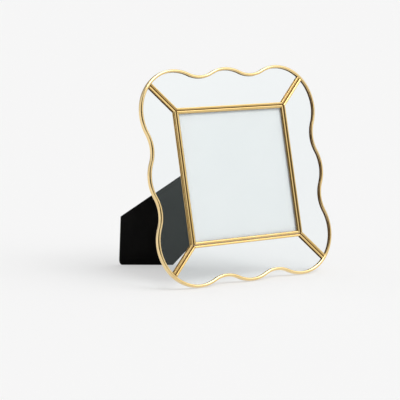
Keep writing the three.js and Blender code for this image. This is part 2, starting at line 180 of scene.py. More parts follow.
class Nodes:
    """A material or world node tree with short calls for its nodes."""

    def __init__(self, owner):
        owner.use_nodes = True
        self.tree = owner.node_tree
        self.tree.nodes.clear()

    def add(self, kind, **settings):
        node = self.tree.nodes.new(kind)
        for key, value in settings.items():
            setattr(node, key, value)
        return node

    def put(self, socket, value):
        if isinstance(value, bpy.types.NodeSocket):
            self.tree.links.new(value, socket)
        else:
            socket.default_value = value

    def math(self, operation, *values):
        node = self.add("ShaderNodeMath", operation=operation)
        for socket, value in zip(node.inputs, values):
            self.put(socket, value)
        return node.outputs[0]

    def mix(self, factor, first, second):
        node = self.add("ShaderNodeMix", data_type="RGBA")
        self.put(node.inputs[MIX_FACTOR], factor)
        self.put(node.inputs[MIX_FIRST], first)
        self.put(node.inputs[MIX_SECOND], second)
        return node.outputs[MIX_RESULT]

    def blend(self, factor, first, second):
        node = self.add("ShaderNodeMixShader")
        for socket, value in zip(node.inputs, (factor, first, second)):
            self.put(socket, value)
        return node.outputs[0]

    def ramp(self, value, low, high, to_low=0.0, to_high=1.0):
        node = self.add("ShaderNodeMapRange", interpolation_type="SMOOTHSTEP")
        for socket, number in zip(node.inputs, (value, low, high, to_low, to_high)):
            self.put(socket, number)
        return node.outputs[0]

    def noise(self, vector, scale, detail, roughness):
        node = self.add("ShaderNodeTexNoise")
        self.put(node.inputs["Vector"], vector)
        self.put(node.inputs["Scale"], scale)
        self.put(node.inputs["Detail"], detail)
        self.put(node.inputs["Roughness"], roughness)
        return node.outputs["Fac"]

    def stretched(self, vector, scale):
        node = self.add("ShaderNodeMapping")
        self.put(node.inputs["Vector"], vector)
        self.put(node.inputs["Scale"], scale)
        return node.outputs[0]

    def bump(self, height, strength, distance, normal=None):
        node = self.add("ShaderNodeBump")
        self.put(node.inputs["Height"], height)
        self.put(node.inputs["Strength"], strength)
        self.put(node.inputs["Distance"], distance)
        if normal is not None:
            self.put(node.inputs["Normal"], normal)
        return node.outputs[0]

    def here(self):
        return self.add("ShaderNodeTexCoord").outputs["Object"]

    def rays(self):
        return self.add("ShaderNodeLightPath").outputs

    def principled(self, **sockets):
        node = self.add("ShaderNodeBsdfPrincipled")
        for name, value in sockets.items():
            self.put(node.inputs[name.replace("_", " ")], value)
        return node.outputs[0]

    def finish(self, shader, kind="ShaderNodeOutputMaterial"):
        self.tree.links.new(shader, self.add(kind).inputs["Surface"])


# Materials
BRASS_SPOT = (0.62, 0.38, 0.14, 1)
# Brown that the brass is darkened towards where shade is painted: seams, slots, under lips and on dimmed
# faces
BRASS_PAINTED_SHADE = (0.26, 0.125, 0.03, 1)
PAINTED_SHADE_ROUGHNESS = 0.3
LACQUER_ROUGHNESS = 0.12
POLISHED_STREAK = (0.06, 5.0, 1.0)
POLISHED_ROUGH = (0.1, 0.2)
SATIN_STREAK = (0.4, 9.0, 1.0)
SATIN_ROUGH = (0.26, 0.42)
GLASS_PALE = (0.97, 0.995, 1.0, 1)
GLASS_GLINT = (0.88, 1.0, 0.98, 1)
GLASS_SHADE = (0.97, 0.985, 0.985, 1)
GLASS_SMEAR = 0.03
CARD_TONES = ((0.935, 0.948, 0.953, 1), (0.962, 0.967, 0.969, 1))
CARD_ROUGH = (0.82, 0.95)
FLOCK_TONES = ((0.005, 0.005, 0.0051, 1), (0.0135, 0.0133, 0.013, 1))
FLOCK_ROUGH = (0.85, 1.0)
LINT = (0.03, 0.03, 0.03, 1)
FLOOR_PAINT = (0.9, 0.9, 0.9, 1)
FLOOR_GLOW = (0.95, 0.95, 0.95, 1)
FLOOR_GLOW_SHARE = 0.5


def brass_material(name, light, dark, streak, rough, lacquer):
    """Brass of two tones with streaks along its strip, small spots, and the painted shade of its seams,
    slots and dimmed faces.
    """
    material = bpy.data.materials.new(name)
    n = Nodes(material)
    strip = n.add("ShaderNodeUVMap", uv_map="strip").outputs[0]
    painted_shading = n.add("ShaderNodeAttribute", attribute_name="painted_shade").outputs["Fac"]
    streaks = n.noise(n.stretched(strip, streak), scale=1.0, detail=5.0, roughness=0.6)
    cloud = n.noise(n.here(), scale=55.0, detail=4.0, roughness=0.55)
    spots = n.noise(n.here(), scale=900.0, detail=2.0, roughness=0.5)
    tone = n.mix(n.ramp(cloud, 0.3, 0.7), dark, light)
    spotted = n.mix(n.ramp(spots, 0.62, 0.75, 0.0, 0.25), tone, BRASS_SPOT)
    # Painted shade: the strip's painted shade attribute darkens the brass towards brown, a little
    # unevenly
    painted_shade = n.math("MULTIPLY", painted_shading, n.ramp(cloud, 0.2, 0.6, 0.85, 1.0))
    colour = n.mix(painted_shade, spotted, BRASS_PAINTED_SHADE)
    roughness = n.ramp(streaks, 0.25, 0.75, *rough)
    roughness = n.math("MULTIPLY_ADD", painted_shading, PAINTED_SHADE_ROUGHNESS, roughness)
    normal = n.bump(streaks, strength=0.25, distance=0.02 * MM)
    normal = n.bump(spots, strength=0.08, distance=0.02 * MM, normal=normal)
    shader = n.principled(
        Base_Color=colour,
        Metallic=1.0,
        Roughness=roughness,
        Normal=normal,
        Coat_Weight=lacquer,
        Coat_Roughness=LACQUER_ROUGHNESS,
    )
    n.finish(shader)
    return material


def glass_material(name, tint):
    """Tinted glass, faintly wavy and smeared, that lets light through to matt surfaces."""
    material = bpy.data.materials.new(name)
    n = Nodes(material)
    cloud = n.noise(n.here(), scale=14.0, detail=2.0, roughness=0.5)
    wave = n.noise(n.here(), scale=26.0, detail=1.0, roughness=0.4)
    smear = n.noise(n.here(), scale=60.0, detail=5.0, roughness=0.65)
    shader = n.principled(
        Base_Color=n.mix(cloud, tint, GLASS_PALE),
        Roughness=n.ramp(smear, 0.45, 0.8, 0.0, GLASS_SMEAR),
        IOR=1.5,
        Transmission_Weight=1.0,
        Specular_Tint=GLASS_GLINT,
        Normal=n.bump(wave, strength=0.1, distance=0.05 * MM),
    )
    clear = n.add("ShaderNodeBsdfTransparent")
    n.put(clear.inputs["Color"], GLASS_SHADE)
    rays = n.rays()
    for ray in ("Is Diffuse Ray", "Is Shadow Ray"):
        shader = n.blend(rays[ray], shader, clear.outputs[0])
    n.finish(shader)
    return material


def card_material(name):
    """Matt white card with short fibres."""
    material = bpy.data.materials.new(name)
    n = Nodes(material)
    fibre = n.noise(n.stretched(n.here(), (1.0, 1.0, 2.5)), scale=900.0, detail=6.0, roughness=0.7)
    cloud = n.noise(n.here(), scale=30.0, detail=3.0, roughness=0.5)
    tone = n.math("MULTIPLY_ADD", fibre, 0.5, n.math("MULTIPLY", cloud, 0.5))
    shader = n.principled(
        Base_Color=n.mix(n.ramp(tone, 0.3, 0.7), *CARD_TONES),
        Roughness=n.ramp(fibre, 0.2, 0.8, *CARD_ROUGH),
        Specular_IOR_Level=0.25,
        Normal=n.bump(fibre, strength=0.15, distance=0.03 * MM),
    )
    n.finish(shader)
    return material


def flock_material(name):
    """Black flock with a fine pile, a nap and a little lint."""
    material = bpy.data.materials.new(name)
    n = Nodes(material)
    pile = n.noise(n.here(), scale=2600.0, detail=3.0, roughness=0.7)
    nap = n.noise(n.stretched(n.here(), (1.0, 1.0, 0.35)), scale=90.0, detail=4.0, roughness=0.6)
    lint = n.noise(n.here(), scale=700.0, detail=6.0, roughness=0.75)
    tone = n.math("MULTIPLY_ADD", pile, 0.6, n.math("MULTIPLY", nap, 0.4))
    colour = n.mix(n.ramp(tone, 0.3, 0.7), *FLOCK_TONES)
    shader = n.principled(
        Base_Color=n.mix(n.ramp(lint, 0.69, 0.78, 0.0, 0.5), colour, LINT),
        Roughness=n.ramp(nap, 0.3, 0.7, *FLOCK_ROUGH),
        Specular_IOR_Level=0.03,
        Sheen_Weight=0.02,
        Sheen_Roughness=0.4,
        Normal=n.bump(pile, strength=0.5, distance=0.1 * MM),
    )
    n.finish(shader)
    return material


def floor_material(name):
    """Pale matt paint, made lighter for the camera, in mirror images and through glass."""
    material = bpy.data.materials.new(name)
    n = Nodes(material)
    paint = n.principled(Base_Color=FLOOR_PAINT, Roughness=1.0, Specular_IOR_Level=0.0)
    glow = n.add("ShaderNodeEmission")
    n.put(glow.inputs["Color"], FLOOR_GLOW)
    rays = n.rays()
    seen = rays["Is Camera Ray"]
    for ray in ("Is Glossy Ray", "Is Transmission Ray"):
        seen = n.math("MAXIMUM", seen, rays[ray])
    n.finish(n.blend(n.math("MULTIPLY", seen, FLOOR_GLOW_SHARE), paint, glow.outputs[0]))
    return material


RIM_BRASS = brass_material(
    "pale_brass",
    light=(0.94, 0.71, 0.34, 1),
    dark=(0.88, 0.63, 0.26, 1),
    streak=POLISHED_STREAK,
    rough=POLISHED_ROUGH,
    lacquer=1.0,
)
BAR_BRASS = brass_material(
    "deep_brass",
    light=(0.94, 0.70, 0.32, 1),
    dark=(0.87, 0.62, 0.24, 1),
    streak=POLISHED_STREAK,
    rough=POLISHED_ROUGH,
    lacquer=0.0,
)
FITTING_BRASS = brass_material(
    "satin_brass",
    light=(0.78, 0.56, 0.25, 1),
    dark=(0.68, 0.46, 0.18, 1),
    streak=SATIN_STREAK,
    rough=SATIN_ROUGH,
    lacquer=0.0,
)
SIDE_GLASS = glass_material("side_glass", (0.945, 0.988, 0.995, 1))
PICTURE_GLASS = glass_material("picture_glass", (0.96, 0.985, 0.99, 1))
CARD = card_material("white_card")
FLOCK = flock_material("black_flock")


# Shapes
class Shape:
    """Points with their painted shade, and faces with a texture place for each corner."""

    def __init__(self):
        self.points = []
        self.painted_shade = []
        self.faces = []
        self.places = []

    def point(self, place, painted_shade=0.0):
        self.points.append(Vector(place))
        self.painted_shade.append(painted_shade)
        return len(self.points) - 1

    def face(self, corners, places=None):
        self.faces.append(tuple(corners))
        self.places.append(places or [(self.points[c].x, self.points[c].y) for c in corners])

    def turned(self, matrix):
        self.points = [matrix @ p for p in self.points]
        return self

    def mesh(self, name):
        mesh = bpy.data.meshes.new(name)
        mesh.from_pydata([tuple(p) for p in self.points], [], self.faces)
        layer = mesh.uv_layers.new(name="strip")
        for polygon, places in zip(mesh.polygons, self.places):
            for loop, place in zip(polygon.loop_indices, places):
                layer.data[loop].uv = place
        # Painted shade of each point, read by the brass material
        attribute = mesh.attributes.new("painted_shade", "FLOAT", "POINT")
        attribute.data.foreach_set("value", self.painted_shade)
        work = bmesh.new()
        work.from_mesh(mesh)
        bmesh.ops.recalc_face_normals(work, faces=work.faces)
        work.to_mesh(mesh)
        work.free()
        return mesh


def oval(x, y, radii, start, end, steps):
    """Points along part of an oval, with its angles in degrees."""
    angles = [math.radians(start + (end - start) * i / steps) for i in range(steps + 1)]
    return [Vector((x + radii[0] * math.cos(a), y + radii[1] * math.sin(a))) for a in angles]


def arc(x, y, radius, start, end, steps):
    return oval(x, y, (radius, radius), start, end, steps)


def heading(v):
    return math.degrees(math.atan2(v.y, v.x))


def block(low, high):
    """A box with its corners at low and high, for cutting and joining."""
    shape = Shape()
    for z in (low[2], high[2]):
        for x, y in ((low[0], low[1]), (high[0], low[1]), (high[0], high[1]), (low[0], high[1])):
            shape.point((x, y, z))
    for face in ((0, 1, 2, 3), (4, 5, 6, 7), (0, 1, 5, 4), (1, 2, 6, 5), (2, 3, 7, 6), (3, 0, 4, 7)):
        shape.face(face)
    return shape


def combined(first, others, operation):
    """The mesh of first after others are joined to it or cut from it."""
    made = []
    for mesh in [first, *others]:
        thing = bpy.data.objects.new("work", mesh)
        bpy.context.scene.collection.objects.link(thing)
        made.append(thing)
    for other in made[1:]:
        change = made[0].modifiers.new("change", "BOOLEAN")
        change.operation = operation
        change.solver = "EXACT"
        change.object = other
    graph = bpy.context.evaluated_depsgraph_get()
    result = bpy.data.meshes.new_from_object(made[0].evaluated_get(graph))
    for thing in made:
        bpy.data.objects.remove(thing)
    return result


def shown(node, mesh, place, material, body):
    """Puts a mesh in the scene in place of a CAD node."""
    mesh.transform(place)
    mesh.shade_smooth()
    mesh.set_sharp_from_angle(angle=math.radians(SMOOTH_UP_TO))
    mesh.materials.append(material)
    piece = bpy.data.objects.new(f"{node}_finish", mesh)
    bpy.context.scene.collection.objects.link(piece)
    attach(piece, body)
    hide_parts(node)


def show_fitting(node, mesh, place, body):
    shown(node, mesh, place, FITTING_BRASS, body)


# Painted shade on the brass strips, from 0 for none to 1 for dark: shade painted in seams, slots, under
# lips and on hidden sides
FULL_PAINTED_SHADE = 1.0
RIM_SEAM_PAINTED_SHADE = 0.0
INNER_SEAM_PAINTED_SHADE = 0.95
MITRE_SEAM_PAINTED_SHADE = 0.85
SEAM_PAINTED_SHADE_RISE = 1.5
RAIL_LIP_PAINTED_SHADE = 0.6
RAIL_FLANK_PAINTED_SHADE = 0.3
RAIL_SIDE_PAINTED_SHADE = 0.6
RAIL_EDGE_PAINTED_SHADE = 0.2
RAIL_INSIDE_PAINTED_SHADE = 0.3

# Painted shade in a strip's slot and on its face, for each kind and for the strips that differ; painted
# shade on a face dims its highlights
RIM_PAINTED_SHADE = (0.3, 0.0)
INNER_PAINTED_SHADE = (0.3, 0.0)
MITRE_PAINTED_SHADE = (0.0, 0.0)
OWN_PAINTED_SHADES = {
    "top_edge_came": (0.75, 0.0),
    "right_edge_came": (1.0, 0.0),
    "left_mitre_came_by_top": (1.0, 0.0),
    "bottom_mitre_came_by_right": (1.0, 0.0),
    "top_mitre_came_by_right": (0.0, 0.35),
    "left_mitre_came_by_bottom": (0.0, 0.35),
}


# Strip sections: x towards the closed side, y to the front, third value the painted shade
def painted_shading(points, painted_shade=lambda t: 0.0):
    """Section points, whose painted shade follows from the share of the way along them."""
    last = len(points) - 1
    return [(p.x, p.y, painted_shade(i / last)) for i, p in enumerate(points)]


def crown(start, end, level):
    """Points between two places on a face that rises a little in the middle."""
    points = []
    for i in range(1, STRIP_STEPS):
        t = i / STRIP_STEPS
        points.append(Vector((start + (end - start) * t, level + STRIP_CROWN * 4 * t * (1 - t))))
    return points


def came_section(half, closed, lip, seam, slot, face):
    """Came with its slot; seam, slot and face are how much painted shade its closed side, slot and front
    get.
    """
    lip_x = lip[0] - half
    flank_x = half - closed[0]
    lip_points = oval(lip_x, CAME_FRONT - lip[1], lip, 180, 90, STRIP_STEPS)
    flank_points = oval(flank_x, CAME_FRONT - closed[1], closed, 90, 0, 2 * STRIP_STEPS)
    front = [(-half, CAME_SLOT, slot)]
    front += painted_shading(lip_points, lambda t: slot * (1 - t) ** 2)
    front += painted_shading(crown(lip_x, flank_x, CAME_FRONT))
    front += painted_shading(flank_points, lambda t: seam * min(FULL_PAINTED_SHADE, SEAM_PAINTED_SHADE_RISE * t))
    front = [(x, y, max(painted_shade, face)) for x, y, painted_shade in front]
    back = [(x, -y, painted_shade) for x, y, painted_shade in reversed(front)]
    web = half - CAME_WEB
    return front + back + [(web, -CAME_SLOT, slot), (web, CAME_SLOT, slot)]


def rail_section():
    """Picture rail, with x measured from the frame's middle."""
    lip_x = RAIL_LIP_EDGE + RAIL_LIP_ROUND[0]
    flank_x = RAIL_OUTER - RAIL_ROUND
    back_y = RAIL_BACK + RAIL_BACK_ROUND
    lip = oval(lip_x, RAIL_FRONT - RAIL_LIP_ROUND[1], RAIL_LIP_ROUND, 180, 90, 2 * STRIP_STEPS)
    flank = arc(flank_x, RAIL_FRONT - RAIL_ROUND, RAIL_ROUND, 90, 0, 2 * STRIP_STEPS)
    # Painted shade under the lip, on its rounding and flank, and on the rail's hidden sides
    points = [(RAIL_LIP_EDGE, RAIL_LIP_BACK, FULL_PAINTED_SHADE)]
    points += painted_shading(lip, lambda t: RAIL_LIP_PAINTED_SHADE * (1 - t))
    points += painted_shading(crown(lip_x, flank_x, RAIL_FRONT))
    points += painted_shading(flank, lambda t: RAIL_FLANK_PAINTED_SHADE * t)
    points.append((RAIL_OUTER, CAME_FRONT - CAME_ROUND[1], FULL_PAINTED_SHADE))
    points.append((RAIL_OUTER, -CAME_FRONT, RAIL_SIDE_PAINTED_SHADE))
    points.append((RAIL_OUTER, -CAME_FRONT - RAIL_BACK_ROUND, RAIL_EDGE_PAINTED_SHADE))
    for x, start in ((RAIL_OUTER - RAIL_BACK_ROUND, 0), (RAIL_INNER + RAIL_BACK_ROUND, -90)):
        points += painted_shading(arc(x, back_y, RAIL_BACK_ROUND, start, start - 90, EASE_STEPS))
    points.append((RAIL_INNER, BOARD_BACK, RAIL_INSIDE_PAINTED_SHADE))
    points.append((RAIL_INNER, RAIL_LIP_BACK, FULL_PAINTED_SHADE))
    return points


def swept(section, stations):
    """A section carried through stations.

    Each station is a function from a section point to a place, and a distance along the strip.
    """
    shape = Shape()
    around = [0.0]
    for i, p in enumerate(section):
        q = section[(i + 1) % len(section)]
        around.append(around[-1] + math.hypot(q[0] - p[0], q[1] - p[1]))
    rows = []
    for place, _ in stations:
        rows.append([shape.point(place(x, y), painted_shade) for x, y, painted_shade in section])
    count = len(section)
    for i in range(len(rows) - 1):
        near, far = stations[i][1], stations[i + 1][1]
        for j in range(count):
            k = (j + 1) % count
            corners = (rows[i][j], rows[i][k], rows[i + 1][k], rows[i + 1][j])
            places = [(near, around[j]), (near, around[j + 1]), (far, around[j + 1]), (far, around[j])]
            shape.face(corners, places)
    shape.face(rows[0])
    shape.face(rows[-1])
    return shape


def bar(section, start, end, facing, middle):
    """A straight strip whose ends are places along it that vary over the section."""
    facing = Vector(facing).normalized()
    along = Vector((facing.y, -facing.x))
    middle = Vector(middle)

    def placed(at):
        def place(x, y):
            spot = middle + facing * x + along * at(x)
            return (spot.x, spot.y, y)
        return place

    return swept(section, [(placed(start), start(0)), (placed(end), end(0))])


# Scalloped rim
LOBE = RIM_CREST - CORNER_LOBE
CORNER_CENTRE = Vector((LOBE, LOBE))
MIDDLE_CENTRE = Vector((0, RIM_CREST - MIDDLE_LOBE))
lobe_line = CORNER_CENTRE - MIDDLE_CENTRE
to_middle, to_corner = MIDDLE_LOBE + DIP, CORNER_LOBE + DIP
dip_along = (to_middle ** 2 - to_corner ** 2 + lobe_line.length_squared) / (2 * lobe_line.length)
dip_across = math.sqrt(to_middle ** 2 - dip_along ** 2)
lobe_way = lobe_line.normalized()
DIP_CENTRE = MIDDLE_CENTRE + lobe_way * dip_along + Vector((-lobe_way.y, lobe_way.x)) * dip_across
CORNER_JOIN = heading(DIP_CENTRE - CORNER_CENTRE)
MIDDLE_JOIN = heading(DIP_CENTRE - MIDDLE_CENTRE)


def strip_place(spot, outward):
    """A station's function, for a place on the rim and its outward direction."""

    def place(x, y):
        return (spot.x + outward.x * x, spot.y + outward.y * x, y)
    return place


def rim_stations():
    """Places along the top side's rim, from left to right."""
    trim = math.degrees(math.asin(MITRE_GAP / 2 / CORNER_LOBE))
    arcs = [
        (Vector((-LOBE, LOBE)), CORNER_LOBE, 135 - trim, 180 - CORNER_JOIN, 1),
        (Vector((-DIP_CENTRE.x, DIP_CENTRE.y)), DIP, -CORNER_JOIN, -MIDDLE_JOIN, -1),
        (MIDDLE_CENTRE, MIDDLE_LOBE, 180 - MIDDLE_JOIN, MIDDLE_JOIN, 1),
        (DIP_CENTRE, DIP, 180 + MIDDLE_JOIN, 180 + CORNER_JOIN, -1),
        (CORNER_CENTRE, CORNER_LOBE, CORNER_JOIN, 45 + trim, 1),
    ]
    stations = []
    distance = 0.0
    for number, (centre, radius, start, end, out) in enumerate(arcs):
        step = math.radians(abs(end - start)) * radius / RIM_STEPS
        for i in range(min(number, 1), RIM_STEPS + 1):
            angle = math.radians(start + (end - start) * i / RIM_STEPS)
            way = Vector((math.cos(angle), math.sin(angle)))
            stations.append((strip_place(centre + way * radius, way * out), distance))
            distance += step
    return stations


# Brass strips of the four sides
MITRE_SLOPE = math.tan(math.pi / 8)
MITRE_SEAM = SEAM / 2 / math.cos(math.pi / 8)
CAME_LINE = RAIL_SQUARE / 2 + SEAM / 2 + CAME_HALF
CAME_END = CAME_LINE - (SEAM / 2 + CAME_HALF) * math.sqrt(2)


def edge_came(painted_shade):
    """Came along the scalloped edge of the top side."""
    section = came_section(RIM_HALF, RIM_ROUND, RIM_LIP_ROUND, RIM_SEAM_PAINTED_SHADE, *painted_shade)
    return swept(section, rim_stations()).mesh("edge_came")


def inner_came():
    """Came along the inner edge of the top side."""

    def end(x):
        return CAME_END + x * MITRE_SLOPE - MITRE_SEAM

    section = came_section(CAME_HALF, CAME_ROUND, CAME_LIP_ROUND, INNER_SEAM_PAINTED_SHADE, *INNER_PAINTED_SHADE)
    return bar(section, lambda x: -end(x), end, (0, -1), (0, CAME_LINE)).mesh("inner_came")


def mitre_came(hand, painted_shade):
    """Came along a corner diagonal, on the panel's right for hand 1 and its left for -1."""
    inside = CORNER_LOBE - RIM_HALF
    far = SEAM / 2 + 2 * CAME_HALF
    outer_end = LOBE * math.sqrt(2) + math.sqrt(inside ** 2 - far ** 2) - MITRE_GAP
    length = outer_end - (CAME_END + CAME_LINE) / math.sqrt(2)
    section = came_section(CAME_HALF, CAME_ROUND, CAME_LIP_ROUND, MITRE_SEAM_PAINTED_SHADE, *painted_shade)

    def mitred(x):
        return MITRE_SEAM - x * MITRE_SLOPE

    if hand < 0:
        ends = (mitred, lambda x: length)
    else:
        ends = (lambda x: -length, lambda x: -mitred(x))
    return bar(section, *ends, (hand, -1), (hand * CAME_END, CAME_LINE)).mesh("mitre_came")


def picture_rail():
    """Rail over the picture, with the slot for its turn button."""

    def end(x):
        return x - SEAM / 2 * math.sqrt(2)

    rail = bar(rail_section(), lambda x: -end(x), end, (0, 1), (0, 0)).mesh("rail")
    slot = block(
        (-BUTTON_SLOT_HALF, RAIL_INNER - SLOT_OVERCUT, BUTTON_BACK - GAP),
        (BUTTON_SLOT_HALF, RAIL_OUTER + SLOT_OVERCUT, BUTTON_FRONT + GAP),
    )
    return combined(rail, [slot.mesh("slot")], "DIFFERENCE")


for i, side in enumerate(SIDES):
    node = f"{side}_edge_came"
    # Each strip gets its own amounts of painted shade
    rim = edge_came(OWN_PAINTED_SHADES.get(node, RIM_PAINTED_SHADE))
    shown(node, rim, side_turn(i), RIM_BRASS, "frame")
    bars = {f"{side}_inner_came": inner_came(), f"{side}_picture_rail": picture_rail()}
    for hand, neighbour in ((-1, SIDES[i - 1]), (1, SIDES[(i + 1) % len(SIDES)])):
        node = f"{side}_mitre_came_by_{neighbour}"
        bars[node] = mitre_came(hand, OWN_PAINTED_SHADES.get(node, MITRE_PAINTED_SHADE))
    for node, mesh in bars.items():
        shown(node, mesh, side_turn(i), BAR_BRASS, "frame")


# Plates with rounded edges, rivets and rods
SHARPEST_CORNER = 0.3
TAIL_SHOULDER = (0.7, 0.6)


def inset(loop, depth):
    """A closed outline moved towards its left by depth."""
    moved = []
    for i, p in enumerate(loop):
        back = (p - loop[i - 1]).normalized()
        ahead = (loop[(i + 1) % len(loop)] - p).normalized()
        normal = Vector((-back.y - ahead.y, back.x + ahead.x)).normalized()
        share = max(SHARPEST_CORNER, normal.dot(Vector((-ahead.y, ahead.x))))
        moved.append(p + normal * (depth / share))
    return moved


def plate(loops, back, front, ease):
    """A plate of an outline and its holes, between two levels, with its edges rounded."""
    shape = Shape()
    levels = []
    for i in range(EASE_STEPS + 1):
        angle = math.pi / 2 * i / EASE_STEPS
        levels.append((ease * (1 - math.sin(angle)), back + ease * (1 - math.cos(angle))))
    levels += [(depth, front + back - z) for depth, z in reversed(levels)]
    ends = ([], [])
    for loop in loops:
        rows = []
        for depth, z in levels:
            rows.append([shape.point((p.x, p.y, z)) for p in inset(loop, depth)])
        ends[0].append(rows[0])
        ends[1].append(rows[-1])
        for near, far in zip(rows, rows[1:]):
            for j in range(len(loop)):
                k = (j + 1) % len(loop)
                shape.face((near[j], near[k], far[k], far[j]))
    for rings in ends:
        flat = [index for ring in rings for index in ring]
        outline = [[shape.points[index] for index in ring] for ring in rings]
        for triangle in tessellate_polygon(outline):
            shape.face([flat[corner] for corner in triangle])
    return shape


def rounded(corners, radii):
    """A polygon, counter-clockwise, with each corner rounded."""
    points = []
    for i, (corner, radius) in enumerate(zip(corners, radii)):
        corner = Vector(corner)
        back = (Vector(corners[i - 1]) - corner).normalized()
        ahead = (Vector(corners[(i + 1) % len(corners)]) - corner).normalized()
        half = math.acos(max(-1.0, min(1.0, back.dot(ahead)))) / 2
        inward = (back + ahead).normalized()
        centre = corner + inward * (radius / math.sin(half))
        sweep = 90 - math.degrees(half)
        middle = heading(-inward)
        points += arc(centre.x, centre.y, radius, middle - sweep, middle + sweep, CORNER_STEPS)
    return points


def hole(x, y):
    return arc(x, y, RIVET_HOLE, 360, 0, HOLE_STEPS)[1:]


def ring(shape, radius, z):
    """Points round the axis, or the same point on the axis for all of them."""
    if radius == 0:
        return [shape.point((0, 0, z))] * ROUND_SIDES
    turn = [2 * math.pi * i / ROUND_SIDES for i in range(ROUND_SIDES)]
    return [shape.point((radius * math.cos(a), radius * math.sin(a), z)) for a in turn]


def lathe(profile, closed=False):
    """A round form from (radius, level) pairs that end on the axis or close on themselves."""
    shape = Shape()
    rows = [ring(shape, radius, z) for radius, z in profile]
    if closed:
        rows.append(rows[0])
    for near, far in zip(rows, rows[1:]):
        for j in range(ROUND_SIDES):
            k = (j + 1) % ROUND_SIDES
            corners = dict.fromkeys((near[j], near[k], far[k], far[j]))
            if len(corners) > 2:
                shape.face(corners)
    return shape


def rivet(head_seat, tip, tail=False):
    """A rivet with a domed head behind head_seat; its shank ends at tip, with a second head if tail."""
    profile = []
    for angle in (math.radians(a) for a in DOME_ANGLES):
        profile.append((RIVET_HEAD * math.sin(angle), head_seat - RIVET_HEAD_HEIGHT * math.cos(angle)))
    profile += [(RIVET_SHANK, head_seat), (RIVET_SHANK, tip)]
    end = tip
    if tail:
        end = tip + RIVET_TAIL_HEIGHT
        shoulder_in, shoulder_up = TAIL_SHOULDER
        profile += [(RIVET_TAIL, tip), (RIVET_TAIL, tip + shoulder_up * RIVET_TAIL_HEIGHT)]
        profile.append((shoulder_in * RIVET_TAIL, end))
    return lathe([*profile, (0, end)]).mesh("rivet")


def rod(radius, half, bore=None):
    """A round bar along x with eased ends, solid or bored through."""
    inner, low, high = radius - ROD_EASE, ROD_EASE - half, half - ROD_EASE
    sides = [(inner, -half), (radius, low), (radius, high), (inner, half)]
    if bore is None:
        shape = lathe([(0, -half), *sides, (0, half)])
    else:
        shape = lathe([*sides, (bore, half), (bore, -half)], closed=True)
    return shape.turned(Matrix.Rotation(math.pi / 2, 4, "Y"))


# Turn buttons and their rivets
TIP_ANGLE = math.degrees(math.asin(BUTTON_TIP_WIDTH / 2 / BUTTON_REACH))
button_outline = arc(0, 0, BUTTON_HEAD, 180 - BUTTON_SHOULDER, 360 + BUTTON_SHOULDER, HEAD_STEPS)
button_outline += arc(0, 0, BUTTON_REACH, 90 - TIP_ANGLE, 90 + TIP_ANGLE, TIP_STEPS)
for i, side in enumerate(SIDES):
    node = f"{side}_turn_button"
    place = side_turn(i) @ Matrix.Translation((0, BUTTON_PIVOT, 0))
    button = plate([button_outline, hole(0, 0)], BUTTON_BACK, BUTTON_FRONT, BUTTON_EASE)
    show_fitting(node, button.mesh("button"), place, node)
    show_fitting(f"{node}_rivet", rivet(BUTTON_BACK - GAP, BOARD_FRONT), place, "frame")

# Backing board and the rivets of the hinge's leaf on it
across = HINGE_FROM_CENTRE + RIVET_FROM_PIN
board_rivets = []
for along in RIVETS_ALONG:
    board_rivets.append(((across + along) / math.sqrt(2), (across - along) / math.sqrt(2)))
sheet_corners = [(SHEET_HALF * x, SHEET_HALF * y) for x, y in ((-1, -1), (1, -1), (1, 1), (-1, 1))]
board_outline = rounded(sheet_corners, [BOARD_CORNER] * len(sheet_corners))
pivots = [(BUTTON_PIVOT * x, BUTTON_PIVOT * y) for x, y in ((0, 1), (1, 0), (0, -1), (-1, 0))]
board_holes = [hole(x, y) for x, y in pivots + board_rivets]
board = plate([board_outline, *board_holes], BOARD_BACK, BOARD_FRONT, BOARD_EASE)
shown("backing_board", board.mesh("board"), STAND, FLOCK, "frame")
for i, (x, y) in enumerate(board_rivets):
    pin = rivet(BOARD_BACK - GAP - LEAF_THICKNESS - GAP, BOARD_FRONT)
    show_fitting(f"board_leaf_rivet_{i + 1}", pin, STAND @ Matrix.Translation((x, y, 0)), "frame")

# Hinge: x along its pin, y up the board's diagonal, z to the front
LEAF_HALF = LEAF_THICKNESS / 2
BARREL_HALF = HINGE_HALF - KNUCKLE - SEAM
JOIN_HALF = BARREL_HALF - JOIN_END


def leaf(way, back, front):
    """A hinge leaf with its rivet holes, above the pin for way 1 and below it for -1."""
    corners = [(-1, LEAF_EDGE), (1, LEAF_EDGE), (1, HINGE_LEAF), (-1, HINGE_LEAF)]
    outline = rounded([(way * x * HINGE_HALF, way * y) for x, y in corners], LEAF_CORNERS)
    holes = [hole(x, way * RIVET_FROM_PIN) for x in RIVETS_ALONG]
    return plate([outline, *holes], back, front, LEAF_EASE).mesh("leaf")


def curl(low, high):
    """A rolled knuckle between two places along the pin, with the tab that joins its leaf."""
    tab = LEAF_EDGE + TAB_OVERLAP
    outside = BARREL - JOIN_SKIN
    tab_back = BARREL - LEAF_THICKNESS + JOIN_SKIN
    outer = arc(0, 0, outside, 90, CURL_END, CURL_STEPS)
    inner = arc(0, 0, BORE, CURL_END, math.degrees(math.asin(tab_back / BORE)), CURL_STEPS)
    outline = [Vector((tab, outside)), *outer, *inner, Vector((tab, tab_back))]
    shape = Shape()
    near, far = ([shape.point((x, p.x, p.y)) for p in outline] for x in (low, high))
    for j in range(len(outline)):
        k = (j + 1) % len(outline)
        shape.face((near[j], near[k], far[k], far[j]))
    shape.face(near)
    shape.face(far)
    return shape.mesh("knuckle")


